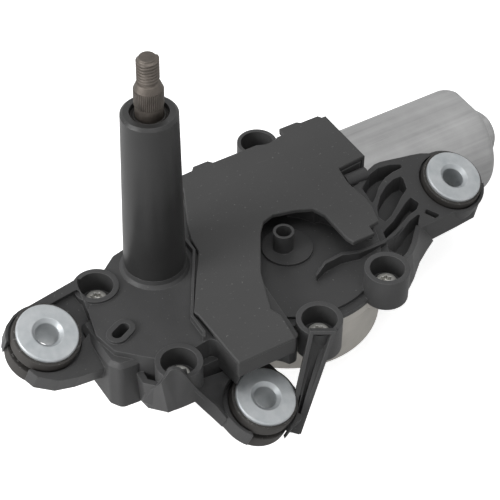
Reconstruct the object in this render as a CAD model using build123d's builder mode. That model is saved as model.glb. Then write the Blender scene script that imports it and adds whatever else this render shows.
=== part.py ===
from build123d import *
from math import acos, atan2, cos, degrees, hypot, pi, radians, sin, sqrt
import os

os.makedirs("parts", exist_ok=True)

# Rear wiper motor, in millimetres. Z runs up the output shaft, X runs from the
# output shaft to the motor can, and the origin is on the shaft's axis at the deck.

# Tower and output shaft
tower_height = 73.7
tower_top_r = 10.2
tower_foot_r = 11.5
tower_flare = 3.0
bush_seat_r = 7.0
shaft_r = 5.0
running_gap = 0.03
cone_r = 5.3
thread_r = 4.0
thread_length = 9.6
cone_end = tower_height + 10.0
thread_start = tower_height + 13.0
shaft_tip = thread_start + thread_length + 0.8

# Levels of the casing
boss_rim_z = 1.0
dome_z = -9.0
parting_z = -12.5
wall = 2.5
cover_top = 2.5
cover_thickness = 1.8
seam = 0.2

# Housing screws: plan position of each boss
left_boss = (-24.0, 1.0)
front_boss = (-16.5, -46.5)
strut_boss = (36.7, -54.5)
right_boss = (72.0, -46.0)
rear_boss = (70.7, 43.0)
deck_bosses = [left_boss, front_boss, strut_boss, right_boss]
rear_boss_drop = 5.0
boss_r = 8.5
rear_boss_r = 8.0
boss_cup_r = 6.5
boss_floor_z = boss_rim_z - 9.0
screw_hole_r = 2.6

# Worm drive
wheel_center = (51.5, -10.0)
wheel_teeth = 63
wheel_module = 1.0
wheel_r = wheel_teeth * wheel_module / 2
wheel_mid_z = -30.5
wheel_height = 10.0
wheel_top = wheel_mid_z + wheel_height / 2
worm_r = 4.5
worm_turns = 7
worm_axis = (wheel_center[1] + wheel_r + worm_r, wheel_mid_z)
axle_r = 4.0
axle_top = wheel_top - 1.6

# Metal gear housing
cup_r = 36.4
cup_floor_z = -38.0
cup_wall = 2.8
cup_chamfer = 4.2
flange_r = 38.6
chamber_floor_z = -27.0
lug_thickness = 3.0

# Motor
can_r = 22.8
can_flat = 21.3
can_wall = 1.8
can_start = 98.3
can_end = 164.4
dome_r = 9.5
dome_end = 173.9
core_r = 16.8
core_start = 108.0
core_end = 143.0
motor_shaft_r = 3.0
magnet_inner_r = 17.5

# Wiping linkage: crank, toothed rod, guide link and pinion
crank_r = 10.0
rod_length = 40.0
tooth_module = 1.25
pinion_teeth = 18
sector_teeth = 28
sector_span = 8
pinion_r = tooth_module * pinion_teeth / 2
sector_r = tooth_module * sector_teeth / 2
link_length = pinion_r + sector_r
rod_z = (-24.6, -20.6)
link_z = (-20.3, -18.3)
pivot_r = 3.0

# Rubber-mounted eyes, square to a plane tilted away from the output shaft
mount_tilt = 21.0
mount_heading = -72.0
eye_height = 3.75
right_eye_height = 11.0
left_eye = (-50.7, -14.0)
front_eye = (11.0, -60.6)
right_eye = (129.5, -10.0)
sleeve_flange_r = 11.3
arm_depth = 8.0
arm_top = 5.0
right_arm_top = 4.0
right_arm_depth = 9.6
sleeve_flange = 1.5
sleeve_length = 16.0
sleeve_r = 6.0
sleeve_bore_r = 4.3
bore_lead = 1.4
web_top = -6.5
web_bottom = -9.5
flange_bottom = -15.4
groove_r = 7.4
upper_flange_r = 12.4
lower_flange_r = 12.8
nut_room_r = 12.1
nut_room = 15.0
eye_r = 14.4
left_eye_r = 14.0

normal_x = sin(radians(mount_tilt)) * cos(radians(mount_heading))
normal_y = sin(radians(mount_tilt)) * sin(radians(mount_heading))
normal_z = cos(radians(mount_tilt))


def mount_plane(height, offset=0.0):
    """Plane square to the mounting bolts that crosses the output axis at a height."""
    plane = Plane(origin=(0, 0, height), x_dir=(1, 0, 0), z_dir=(normal_x, normal_y, normal_z))
    return plane.offset(offset)


def plane_height(x, y, height):
    """Height of the mount plane above a plan position."""
    return height - (normal_x * x + normal_y * y) / normal_z


def on_mount(x, y, height):
    """Local coordinates on the mount plane of the point above a plan position."""
    local = mount_plane(height).to_local_coords(Vector(x, y, plane_height(x, y, height)))
    return (local.X, local.Y)


def all_on_mount(points, height):
    return [on_mount(x, y, height) for x, y in points]


def finish(builder, name):
    """Label a finished piece and write it."""
    builder.part.label = name
    export_step(builder.part, f"parts/{name}.step")


def polar(center, radius, angle):
    return (center[0] + radius * cos(radians(angle)), center[1] + radius * sin(radians(angle)))


# Linkage at rest: the crank points at the output shaft
crank_base = hypot(*wheel_center)
crank_heading = degrees(atan2(wheel_center[1], wheel_center[0]))


def link_angle(reach):
    """Angle at the output axis between the crank pin and the link's far pivot."""
    cosine = (link_length**2 + reach**2 - rod_length**2) / (2 * link_length * reach)
    return degrees(acos(cosine))


def knee_angle(reach):
    """Angle at the link's far pivot between the link and the rod."""
    cosine = (link_length**2 + rod_length**2 - reach**2) / (2 * link_length * rod_length)
    return degrees(acos(cosine))


near_reach = crank_base - crank_r
far_reach = crank_base + crank_r
link_heading = crank_heading - link_angle(near_reach)
knee = polar((0, 0), link_length, link_heading)
crank_pin_at = polar((0, 0), near_reach, crank_heading)
rod_heading = degrees(atan2(crank_pin_at[1] - knee[1], crank_pin_at[0] - knee[0]))
link_swing = link_angle(near_reach) - link_angle(far_reach)
rod_swing = knee_angle(far_reach) - knee_angle(near_reach)
wipe_angle = link_swing + rod_swing * sector_r / pinion_r


def below(eye, drop):
    """Height on the output axis of the plane a distance below an eye's washer top."""
    return eye - drop / normal_z


def outline(points, plane=Plane.XY, radius=0.0):
    """Closed face from a run of corners, rounded where a radius is given."""
    with BuildSketch(plane) as sketch:
        with BuildLine():
            if radius:
                FilletPolyline(*points, radius=radius, close=True)
            else:
                Polyline(*points, close=True)
        make_face()
    return sketch.sketch


def tilted(points, height, radius=0.0):
    """Closed face square to the mounting bolts, from plan positions."""
    return outline(all_on_mount(points, height), mount_plane(height), radius)


def disc(center, radius, plane=Plane.XY):
    with BuildSketch(plane) as sketch:
        with Locations(center):
            Circle(radius)
    return sketch.sketch


def plate(width, height, plane):
    with BuildSketch(plane) as sketch:
        Rectangle(width, height)
    return sketch.sketch


def tilted_disc(center, radius, eye, drop):
    """Disc around an eye's own axis, a distance below the washer top."""
    return disc(on_mount(*center, eye), radius, mount_plane(eye, -drop))


def tilted_slot(center, width, opening, eye, drop):
    """Slot that runs out of an eye toward a plan heading."""
    with BuildSketch(mount_plane(eye, -drop)) as sketch:
        with Locations(Location((*on_mount(*center, eye), 0), (0, 0, opening))):
            with Locations((20, 0)):
                Rectangle(40, width)
    return sketch.sketch


def at(level):
    return Plane.XY.offset(level)


def hull_of(discs, plane):
    """Face stretched around a set of discs given as centre and radius."""
    with BuildSketch(plane) as sketch:
        for center, radius in discs:
            with Locations(center):
                Circle(radius)
        make_hull()
    return sketch.sketch


def chamber(inset, plane):
    """Plan of the linkage chamber, which the gear sector sweeps through."""
    return hull_of([((0, 0), 20 - inset), ((0.5, -21.5), 18 - inset), ((7, -28.5), 11 - inset),
                    ((30, -4), 26 - inset)], plane)


def lug(boss, boss_radius, root, root_radius, drop, growth):
    """Plan of a screw lug that runs from its boss to the metal housing's wall."""
    plane = at(parting_z - drop - lug_thickness - growth)
    return hull_of([(boss, boss_radius + growth), (root, root_radius + growth)], plane)


lugs = [(left_boss, 4.6, (0, 0), 9, 0), (front_boss, 4.2, (0.5, -21.5), 9, 0),
        (strut_boss, 5.6, wheel_center, 20, 0), (right_boss, 5.6, wheel_center, 20, 0),
        (rear_boss, 7.8, (66, 24), 7, rear_boss_drop)]


# ---------------------------------------------------------------- plastic housing

deck_outline = [(-17, 7.5), (-11, 12), (12, 17), (22, 26), (28, 34.6), (60, 34.6), (60, 0), (30, -20),
                (26.5, -57.5), (1.5, -57.5), (0, -42), (-8, -43), (-22, -41), (-33, -30), (-35, -20),
                (-32, -8)]
deck_cavity = [(-14.5, 5), (-9.5, 9.5), (13, 14.5), (24, 24), (29, 32), (57, 32), (57, 4), (26, -14),
               (14, -35), (-20, -37.5), (-29.5, -28.5), (-31.5, -20), (-29, -9)]
tray_outline = [(22, 12), (30, 35.4), (97.4, 35.4), (97.4, 8.2), (86, 7.2), (84.5, -1.4), (85, -12),
                (84.6, -16.4), (82.3, -24.4), (70, -4), (52, 0), (30, -12)]
tray_cavity = [(40, 4), (40, 32.5), (76, 32.5), (76, 3), (60, 5)]
left_arm = [(-24, 6.2), (-50.5, 0.9), (-57.4, -0.6), (-61.9, -3.6), (-64.1, -7.1), (-64.5, -16),
            (-60.5, -24.4), (-54.2, -28), (-46.8, -29), (-37, -29), (-28.6, -29.6), (-22, -38),
            (-14, -20)]
left_recess = [(-47, -1.6), (-30.6, 1.4), (-32.6, -13.5), (-40, -18)]
hump = [(-36.6, -9), (-36.6, -31.6), (-34, -35.8), (-26.8, -36.4), (-21, -33), (-21, -9)]
hump_cavity = [(-33.8, -7), (-33.8, -30.4), (-32.4, -32.8), (-27.6, -33.4), (-23.3, -31), (-23.3, -7)]
prow_base = [(-30.4, -44.4), (-25.2, -53.6), (-14.6, -54.2), (-10, -46), (-20, -38)]
prow_peak = [(-23.4, -51.0), (-20.9, -53.0), (-17.4, -53.4), (-17.6, -51.6), (-21, -49.6)]
prow_web_top = [(-27.5, -34, -9), (-29, -42.5, -7), (-24.5, -52.5, -3)]
prow_web_foot = [(-26.8, -36.4, -24), (-28.0, -44, -19.6), (-25.2, -53.4, -14.2)]
front_arm = [(-13, -40), (-6.2, -42.6), (7.2, -43.8), (13.5, -43.2), (21, -47), (25, -58), (21, -69.5),
             (4, -71.5), (-3.0, -64), (-4.6, -58.5), (-6.2, -54.0), (-9.4, -47.0), (-14, -46)]
front_wall_x = (-9.0, 24.0)
front_wall_y = (-45.0, -42.0)
front_wall_z = (-22.0, -9.0)
right_arm = [(84, 0), (91, 1.6), (96, 3.7), (98.7, 5.7), (102.5, 7.1), (105.6, 7.4), (110.3, 7.1),
             (114.8, 6.7), (119.5, 6.4), (124.1, 5.9), (132, 3.6), (142, -9.5), (140.3, -14.5), (134.6, -19),
             (124, -20.5), (115.1, -21.6), (108.4, -22.4), (101.8, -22.6), (98, -26), (94, -28.6),
             (88.5, -31), (80, -33), (78, -12)]
right_pockets = [
    [(91.9, -7.6), (91.8, -0.5), (98.5, 3.9), (103.2, 5.3), (108.8, 5.2), (113.4, 4.0), (113.2, 2.6),
     (107.8, 1.9), (103.4, 0.6), (98.8, -2.0), (95.2, -5.3)],
    [(91, -13.4), (92.8, -9.8), (97.3, -5.4), (101.9, -2.6), (106.4, -0.9), (110.2, -0.6), (110.7, -1.8),
     (109.4, -6.2), (105.2, -8.6), (100.6, -11.8), (96.4, -14.5), (92.6, -16.0)],
    [(85.6, -21.4), (91.2, -18.7), (95.8, -16.8), (105.2, -11.4), (108.8, -9.8), (110.6, -13.2),
     (108.0, -15.2), (103.4, -16.4), (99.0, -18.4), (93.6, -20.6), (88.8, -22.2)],
    [(112.0, -16.1), (116.1, -20.1), (113.3, -20.9), (110.2, -17.5)],
    [(86.5, -25.4), (92.5, -23.6), (97.5, -21.2), (102.4, -18.6), (106.8, -17.4), (108.9, -16.9),
     (105.4, -20.3), (103.4, -23.6), (99.5, -27.4), (94.0, -30.4), (90.0, -29.6), (87.8, -27.4)],
]
right_pocket_depth = 7.5
rib_foot = [(51.5, -30.5), (57, -28), (65, -27.4), (71.7, -28.9), (77.6, -28.2), (84.5, -26.8),
            (91.9, -23.7), (98.7, -19.9), (103.5, -17.1), (108.9, -15.6)]
rib_crest = [-6.0, -4.5, -4.5, -5.5, -6.8, -8.5, -10.5, -12.2, -13.4, -14.4]
wall_crest = [(80.4, -45.4, 0), (87.0, -41.2, -3), (94.0, -34.6, -7), (100.5, -27.4, -11),
              (105.9, -21.6, -14.2)]
wall_foot = [(79.6, -49.6, -12.5), (86.6, -44.1, -14), (95.4, -35.9, -16.5), (103.2, -30.0, -19.0),
             (110.4, -24.6, -22.0)]
guard_rib = [(-3.7, -42), (-2.5, -40), (-2.2, -31), (15.2, -2.6), (15.3, 3.9)]
shroud_x = (36.0, 56.0)
shroud_y = (24.5, 35.0)
shroud_z = (-12.5, -1.0)
socket_x = (38.5, 53.5)
socket_y = (26.5, 36.0)
socket_z = (-10.8, -2.6)
clip_x = (87.0, 96.6)
clip_axis = (4.4, -2.6)
clip_r = 2.6
down = (0, 0, -1)
strut_top = [(30.8, -57.4, 0.5), (37.8, -63.0, 0.0)]
strut_foot = [(16.5, -67.4, -36.0), (19.6, -70.0, -37.0)]
strut_depth = (3.2, 4.2, -2.4)
vent = (50.0, -9.5)


def block(x_range, y_range, z_range):
    """Rectangular solid between two corners."""
    size = [end - start for start, end in (x_range, y_range, z_range)]
    center = [(start + end) / 2 for start, end in (x_range, y_range, z_range)]
    return Pos(*center) * Box(*size, mode=Mode.PRIVATE)


def column(center, radius, bottom, top):
    """Upright round solid."""
    place = Pos(center[0], center[1], (bottom + top) / 2)
    return place * Cylinder(radius, top - bottom, mode=Mode.PRIVATE)


def barrel(axis, radius, start, end):
    """Round solid along X around an axis given by Y and Z."""
    place = Pos((start + end) / 2, axis[0], axis[1]) * Rot(0, 90, 0)
    return place * Cylinder(radius, end - start, mode=Mode.PRIVATE)


def quad(corners):
    """Flat face between four corners in space."""
    return Face(Wire.make_polygon(corners, close=True))


def ruled_wall(crest, foot, shift):
    """Wall between a crest line and a foot line, thickened by a shift."""
    sections = []
    for high, low in zip(crest, foot):
        high = Vector(*high)
        low = Vector(*low)
        sections.append(quad([high, high + Vector(*shift), low + Vector(*shift), low]))
    return loft(sections, ruled=True, mode=Mode.PRIVATE)


def bar_part(left, right, start, end, face, back):
    """Length of the strut, with each limit as a share of its width, run or depth."""
    sections = []
    for run in (start, end):
        edge = [Vector(*top) * (1 - run) + Vector(*foot) * run for top, foot in zip(strut_top, strut_foot)]
        near = edge[0] + (edge[1] - edge[0]) * left
        far = edge[0] + (edge[1] - edge[0]) * right
        depth = Vector(*strut_depth)
        corners = [near + depth * face, far + depth * face, far + depth * back, near + depth * back]
        sections.append(quad(corners))
    return loft(sections, ruled=True, mode=Mode.PRIVATE)


with BuildPart() as upper_housing:
    # Deck, cover seat and the dome over the worm wheel
    extrude(outline(deck_outline, at(parting_z), 2.5), amount=-parting_z)
    extrude(outline(tray_outline, at(parting_z), 1.5), amount=-parting_z + 0.3)
    extrude(outline(deck_cavity, at(parting_z)), amount=9.5, mode=Mode.SUBTRACT)
    extrude(outline(tray_cavity, at(parting_z)), amount=9.5, mode=Mode.SUBTRACT)
    extrude(disc(wheel_center, flange_r, at(parting_z)), amount=2.0)
    extrude(disc(wheel_center, 35.5, at(parting_z)), amount=dome_z - parting_z)
    extrude(disc(wheel_center, 33.0, at(parting_z)), amount=1.0, mode=Mode.SUBTRACT)

    # Vent well: the dome shows through the cover's cut-out
    extrude(disc(wheel_center, 17.5, at(dome_z)), amount=12, mode=Mode.SUBTRACT)
    extrude(outline([(50, -1), (68, -6), (68, -30), (34, -34), (34, -14)], at(dome_z)),
            amount=12, mode=Mode.SUBTRACT)
    extrude(disc(wheel_center, 9.8, at(dome_z)), amount=1.2)
    extrude(disc(vent, 4.0, at(dome_z)), amount=9.5)

    # Arms to the three rubber-mounted eyes
    extrude(tilted(left_arm, below(eye_height, arm_top), 1.2), amount=-arm_depth)
    extrude(tilted(front_arm, below(eye_height, arm_top), 1.2), amount=-arm_depth)
    extrude(tilted(right_arm, below(right_eye_height, right_arm_top), 0.9), amount=right_arm_depth, dir=down)
    for center, eye, radius, top, depth in ((left_eye, eye_height, left_eye_r, arm_top, arm_depth),
                                            (front_eye, eye_height, eye_r, arm_top, arm_depth),
                                            (right_eye, right_eye_height, eye_r, right_arm_top, 9.0)):
        extrude(tilted_disc(center, radius, eye, top), amount=-depth)
    extrude(tilted(left_recess, below(eye_height, arm_top), 1.2), amount=-3.0, mode=Mode.SUBTRACT)
    for pocket in right_pockets:
        face = tilted(pocket, below(right_eye_height, right_arm_top), 0.5)
        extrude(face, amount=right_pocket_depth, dir=down, mode=Mode.SUBTRACT)
    add(ruled_wall(wall_crest, wall_foot, (-1.5, 1.4, 0)))
    add(block(front_wall_x, front_wall_y, front_wall_z))

    # Hollow hump under the left arm, and the prow in front of the front left boss
    hump_block = extrude(outline(hump, at(-24.0), 3.0), amount=21.6, mode=Mode.PRIVATE)
    add(hump_block.chamfer(1.6, None, hump_block.edges().group_by(Axis.Z)[-1]))
    extrude(outline(hump_cavity, at(-24.1)), amount=10, mode=Mode.SUBTRACT)
    loft([outline(prow_base, at(-14.2)), outline(prow_peak, at(4.0))])
    add(ruled_wall(prow_web_top, prow_web_foot, (2.4, 0.6, 0)))

    # Strut: a two-railed bar from the front right boss down to the front eye
    add(bar_part(0, 1, 0, 1, 0, 1))
    add(bar_part(0.36, 0.58, 0.07, 0.86, -0.1, 0.7), mode=Mode.SUBTRACT)

    # Screw bosses
    for boss in deck_bosses:
        add(column(boss, boss_r, parting_z, boss_rim_z))
    add(column(rear_boss, rear_boss_r, parting_z - rear_boss_drop, boss_rim_z - rear_boss_drop))
    for boss, drop in [(boss, 0) for boss in deck_bosses] + [(rear_boss, rear_boss_drop)]:
        add(column(boss, boss_cup_r, boss_floor_z - drop, 4), mode=Mode.SUBTRACT)
        add(column(boss, screw_hole_r, parting_z - drop - 20, 0), mode=Mode.SUBTRACT)
        add(column(boss, boss_r + 0.3, parting_z - drop - 20, parting_z - drop), mode=Mode.SUBTRACT)

    # Connector shroud
    add(block(shroud_x, shroud_y, shroud_z))
    add(block(socket_x, socket_y, socket_z), mode=Mode.SUBTRACT)

    # Foot of the tower
    with BuildSketch(Plane.XZ):
        with BuildLine():
            Polyline((0, -16.5), (9.5, -16.5), (9.5, -4), (13.2, -2), (13.0, 0), (11.9, 1.2),
                     (tower_foot_r, tower_flare), (0, tower_flare), close=True)
        make_face()
    revolve(axis=Axis.Z)
    add(column((0, 0), bush_seat_r, -17, tower_flare + 1), mode=Mode.SUBTRACT)

    # Slotted pad, guard rib and the rib that runs from the dome into the right arm
    with BuildSketch(at(-3.0)):
        with Locations(Location((-27, -23.5, 0), (0, 0, 25))):
            SlotOverall(12, 8)
    extrude(amount=4.2)
    with BuildSketch(at(-13.0)):
        with Locations(Location((-27, -23.5, 0), (0, 0, 25))):
            SlotOverall(8, 4)
    extrude(amount=15, mode=Mode.SUBTRACT)
    with BuildSketch(at(-2.0)):
        with BuildLine():
            Polyline(*guard_rib)
        trace(line_width=1.0)
    extrude(amount=2.0 + cover_top)
    rib_crests = [(x, y, z) for (x, y), z in zip(rib_foot, rib_crest)]
    rib_feet = [(x, y, z - 7.5) for x, y, z in rib_crests]
    add(ruled_wall(rib_crests, rib_feet, (0.5, 1.4, 0)))
    add(barrel(clip_axis, clip_r, *clip_x))

    # Seats of the three grommets
    for center, eye, opening, width in ((left_eye, eye_height, 191, 13.0), (front_eye, eye_height, 257, 14.8),
                                        (right_eye, right_eye_height, 9, 14.8)):
        extrude(tilted_disc(center, lower_flange_r + 0.4, eye, 0), amount=web_top, mode=Mode.SUBTRACT)
        extrude(tilted_disc(center, nut_room_r, eye, 0), amount=nut_room, mode=Mode.SUBTRACT)
        extrude(tilted_disc(center, lower_flange_r + 0.4, eye, -web_bottom), amount=-12, mode=Mode.SUBTRACT)
        extrude(tilted_disc(center, groove_r, eye, 0), amount=-16, mode=Mode.SUBTRACT)
        extrude(tilted_slot(center, width, opening, eye, 0), amount=-16, mode=Mode.SUBTRACT)

    # Room for the metal housing, the brush chamber and the can
    add(barrel(worm_axis, can_r + 0.4, 79.6, 160), mode=Mode.SUBTRACT)
    add(column(wheel_center, flange_r + 0.4, -60, parting_z), mode=Mode.SUBTRACT)
    add(barrel(worm_axis, 10.0, 15.5, 82), mode=Mode.SUBTRACT)
    extrude(chamber(-0.4, at(-31.0)), amount=31 + parting_z, mode=Mode.SUBTRACT)
    for boss, radius, root, root_r, drop in lugs:
        extrude(lug(boss, radius, root, root_r, drop, 0.4), amount=lug_thickness + 0.4, mode=Mode.SUBTRACT)
    add(column((0, 0), 9.5, -16.5, -11) - column((0, 0), bush_seat_r, -17, -10))
    add(column(vent, 3.0, dome_z, 2), mode=Mode.SUBTRACT)
finish(upper_housing, "upper_housing")

with BuildPart() as tower:
    with BuildSketch(Plane.XZ):
        with BuildLine():
            Polyline((bush_seat_r, tower_flare), (tower_foot_r, tower_flare), (tower_top_r, tower_height - 1),
                     (tower_top_r - 1, tower_height), (bush_seat_r, tower_height), close=True)
        make_face()
    revolve(axis=Axis.Z)
finish(tower, "tower")

# ---------------------------------------------------------------- cover

cover_outline = [(28.6, 35.2), (36.5, 35.6), (38, 37.4), (44.5, 37.4), (46, 35.6), (59, 35.6),
                 (78, 35.6), (78, 39.4), (86.5, 39.4), (88, 38.2), (96, 38.2), (97, 36.6), (97, 8.6),
                 (86, 7.6), (84.5, -1.4), (85.4, -11.4), (85, -16.4), (82.5, -24.8), (78, -25.3),
                 (77.5, -29.4), (68, -29.4), (67, -26), (67, -11.4), (65, -6.4), (59, -3.6),
                 (50.1, -1.4), (45.1, -2.9), (41.1, -7.4), (30.2, -25.3), (23.7, -42.8), (25.2, -47.3),
                 (23.7, -59), (0.3, -59.1), (-0.2, -32), (-1.0, -30), (16.1, -4.2), (17.1, 2.8),
                 (21, 12.7), (28.2, 27.7)]

with BuildPart() as cover_plate:
    extrude(outline(cover_outline, at(cover_top - cover_thickness)), amount=cover_thickness)
    add(column(rear_boss, rear_boss_r + 0.8, -1, 4), mode=Mode.SUBTRACT)
    add(block((0.3, 23.7), (-59.1, -57.8), (-5.0, cover_top - 1)))
    add(block((97.6, 98.8), (8.6, 36.6), (-7.2, cover_top - 1)))
    add(block((96.0, 98.8), (8.6, 36.6), (cover_top - cover_thickness, cover_top)))
    chamfer(cover_plate.faces().sort_by(Axis.Z)[-1].edges(), length=0.35)
finish(cover_plate, "cover_plate")

# ---------------------------------------------------------------- metal gear housing

with BuildPart() as gear_housing:
    add(column(wheel_center, cup_r, -40.5, parting_z))
    chamfer(gear_housing.edges().sort_by(Axis.Z)[0], length=cup_chamfer)
    add(column(wheel_center, flange_r, parting_z - lug_thickness, parting_z))
    extrude(chamber(0, at(-30.0)), amount=30 + parting_z)
    add(column((0, 0), 9.0, -36.0, -29.0))
    add(barrel(worm_axis, 9.5, 16.0, 82.0))
    add(barrel(worm_axis, can_r, 80.0, can_start))
    with BuildSketch(Plane.YZ.offset(can_start - 4.0)):
        with Locations(*[(worm_axis[0] + side * 26.5, worm_axis[1]) for side in (-1, 1)]):
            Circle(4.4)
        with Locations(worm_axis):
            Rectangle(50, 7)
    extrude(amount=4.0)
    for boss, radius, root, root_r, drop in lugs:
        extrude(lug(boss, radius, root, root_r, drop, 0), amount=lug_thickness)
    with BuildSketch(Plane.XY.offset(-35.0)):
        with Locations((66, 30)):
            Rectangle(16, 14)
    extrude(amount=14)
    extrude(chamber(2.8, at(chamber_floor_z)), amount=20, mode=Mode.SUBTRACT)
    cup_room = column(wheel_center, cup_r - cup_wall, cup_floor_z, 0)
    add(cup_room.chamfer(cup_chamfer / 2, None, cup_room.edges().sort_by(Axis.Z)[:1]), mode=Mode.SUBTRACT)
    add(barrel(worm_axis, 6.2, 20.0, 90.0), mode=Mode.SUBTRACT)
    add(barrel(worm_axis, 20.3, 82.5, 100), mode=Mode.SUBTRACT)
    add(column((0, 0), shaft_r + running_gap, -37, -20), mode=Mode.SUBTRACT)
    add(column(wheel_center, 7.0, -42.5, -37.9))
    add(column(wheel_center, axle_r, -41.0, -30), mode=Mode.SUBTRACT)
    for boss, radius, root, root_r, drop in lugs:
        add(column(boss, 2.0, parting_z - drop - 10, 0), mode=Mode.SUBTRACT)
    for side in (-1, 1):
        add(barrel((worm_axis[0] + side * 26.5, worm_axis[1]), 2.0, 80, 100), mode=Mode.SUBTRACT)
finish(gear_housing, "gear_housing")

# ---------------------------------------------------------------- screws

with BuildPart() as housing_screws:
    for boss, drop in [(boss, 0) for boss in deck_bosses] + [(rear_boss, rear_boss_drop)]:
        add(column(boss, 3.9, boss_floor_z - drop, boss_floor_z - drop + 3.0))
        add(column(boss, 2.0, parting_z - drop - lug_thickness, boss_floor_z - drop))
finish(housing_screws, "housing_screws")

# ---------------------------------------------------------------- rubber-mounted eyes

eyes = [("left", left_eye, eye_height), ("front", front_eye, eye_height),
        ("right", right_eye, right_eye_height)]
for side, center, eye in eyes:
    with BuildPart() as mount_sleeve:
        extrude(tilted_disc(center, sleeve_flange_r, eye, 0), amount=-sleeve_flange)
        extrude(tilted_disc(center, sleeve_r, eye, sleeve_flange), amount=sleeve_flange - sleeve_length)
        extrude(tilted_disc(center, sleeve_bore_r, eye, -1), amount=-sleeve_length - 2, mode=Mode.SUBTRACT)
        rims = mount_sleeve.edges().filter_by(GeomType.CIRCLE).sort_by(Axis.Z)
        chamfer([rim for rim in rims[-2:] if rim.radius > sleeve_r], length=0.4)
        rims = mount_sleeve.edges().filter_by(GeomType.CIRCLE).sort_by(SortBy.RADIUS)
        chamfer(rims[:2].sort_by(Axis.Z)[-1], length=bore_lead)
    finish(mount_sleeve, f"{side}_mount_sleeve")

    with BuildPart() as mount_grommet:
        extrude(tilted_disc(center, upper_flange_r, eye, sleeve_flange), amount=web_top + sleeve_flange)
        extrude(tilted_disc(center, groove_r, eye, -web_top), amount=web_bottom - web_top)
        extrude(tilted_disc(center, lower_flange_r, eye, -web_bottom), amount=flange_bottom - web_bottom)
        extrude(tilted_disc(center, sleeve_r, eye, 0), amount=-20, mode=Mode.SUBTRACT)
    finish(mount_grommet, f"{side}_mount_grommet")

# ---------------------------------------------------------------- output shaft and its bearings

with BuildPart() as output_shaft:
    with BuildSketch(Plane.XZ):
        with BuildLine():
            Polyline((0, -38.5), (shaft_r - 0.5, -38.5), (shaft_r, -38), (shaft_r, tower_height + 4),
                     (cone_r, tower_height + 4), (cone_r, cone_end), (thread_r, thread_start),
                     (thread_r, shaft_tip - 1.2), (thread_r - 1.2, shaft_tip), (0, shaft_tip), close=True)
        make_face()
    revolve(axis=Axis.Z)
finish(output_shaft, "output_shaft")

for name, bottom, top in (("lower_bush", -16.0, 4.0), ("upper_bush", 50.0, 68.0)):
    with BuildPart() as bush:
        add(column((0, 0), bush_seat_r, bottom, top))
        add(column((0, 0), shaft_r + running_gap, bottom - 1, top + 1), mode=Mode.SUBTRACT)
    finish(bush, name)

with BuildPart() as shaft_seal:
    with BuildSketch(Plane.XZ):
        with BuildLine():
            Polyline((shaft_r + 0.05, 68.5), (bush_seat_r, 68.5), (bush_seat_r, 71.6), (6.0, 71.6), (5.5, 72.6),
                     (shaft_r + 0.05, 72.2), close=True)
        make_face()
    revolve(axis=Axis.Z)
finish(shaft_seal, "shaft_seal")

with BuildPart() as thrust_washer:
    add(column((0, 0), 8.5, link_z[1] + 0.1, link_z[1] + 1.1))
    add(column((0, 0), shaft_r + running_gap, -20, -10), mode=Mode.SUBTRACT)
finish(thrust_washer, "thrust_washer")

# ---------------------------------------------------------------- motor

with BuildPart() as motor_can:
    with BuildSketch(Plane.YZ.offset(can_start)) as can_profile:
        with Locations(worm_axis):
            Circle(can_r)
            Rectangle(60, 2 * can_flat, mode=Mode.INTERSECT)
    extrude(amount=can_end - can_start)
    fillet(motor_can.faces().sort_by(Axis.X)[-1].edges(), radius=5.0)
    with BuildSketch(Plane.YZ.offset(can_start)):
        with Locations(*[(worm_axis[0] + side * 26.5, worm_axis[1]) for side in (-1, 1)]):
            Circle(4.4)
        with Locations(worm_axis):
            Rectangle(50, 7)
    extrude(amount=1.5)
    add(barrel(worm_axis, 14.0, can_end - 1, can_end + 2.0))
    add(barrel(worm_axis, dome_r, can_end, dome_end))
    chamfer(motor_can.faces().sort_by(Axis.X)[-1].edges(), length=1.8)
    add(barrel(worm_axis, can_flat - can_wall, can_start - 1, can_end - can_wall), mode=Mode.SUBTRACT)
    for side in (-1, 1):
        hole = barrel((worm_axis[0] + side * 26.5, worm_axis[1]), 2.0, can_start - 1, can_start + 3)
        add(hole, mode=Mode.SUBTRACT)
    add(barrel(worm_axis, dome_r - 1.8, can_end - 3, dome_end - can_wall), mode=Mode.SUBTRACT)
finish(motor_can, "motor_can")

with BuildPart() as magnets:
    for heading in (0, 180):
        with BuildSketch(Plane.YZ.offset(105.0)):
            with BuildLine():
                outer = [polar(worm_axis, can_flat - can_wall, heading + step) for step in (-55, 0, 55)]
                inner = [polar(worm_axis, magnet_inner_r, heading + step) for step in (55, 0, -55)]
                ThreePointArc(*outer)
                Line(outer[2], inner[0])
                ThreePointArc(*inner)
                Line(inner[2], outer[0])
            make_face()
        extrude(amount=40.0)
finish(magnets, "magnets")

with BuildPart() as armature_core:
    with BuildSketch(Plane.YZ.offset(core_start)):
        with Locations(worm_axis):
            Circle(core_r)
            Circle(4.0, mode=Mode.SUBTRACT)
            with PolarLocations(core_r - 5.0, 10):
                Rectangle(8.0, 3.4, mode=Mode.SUBTRACT)
            with PolarLocations(core_r, 10):
                Rectangle(4.0, 1.6, mode=Mode.SUBTRACT)
    extrude(amount=core_end - core_start)
finish(armature_core, "armature_core")

with BuildPart() as armature_windings:
    for start, end in ((101.0, core_start - 0.1), (core_end + 0.1, 149.0)):
        add(barrel(worm_axis, core_r - 2.0, start, end))
        add(barrel(worm_axis, 4.0, start - 1, end + 1), mode=Mode.SUBTRACT)
    with BuildSketch(Plane.YZ.offset(core_start - 0.2)):
        with Locations(worm_axis):
            with PolarLocations(core_r - 5.0, 10):
                Rectangle(7.6, 3.0)
    extrude(amount=core_end - core_start + 0.4)
finish(armature_windings, "armature_windings")

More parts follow.
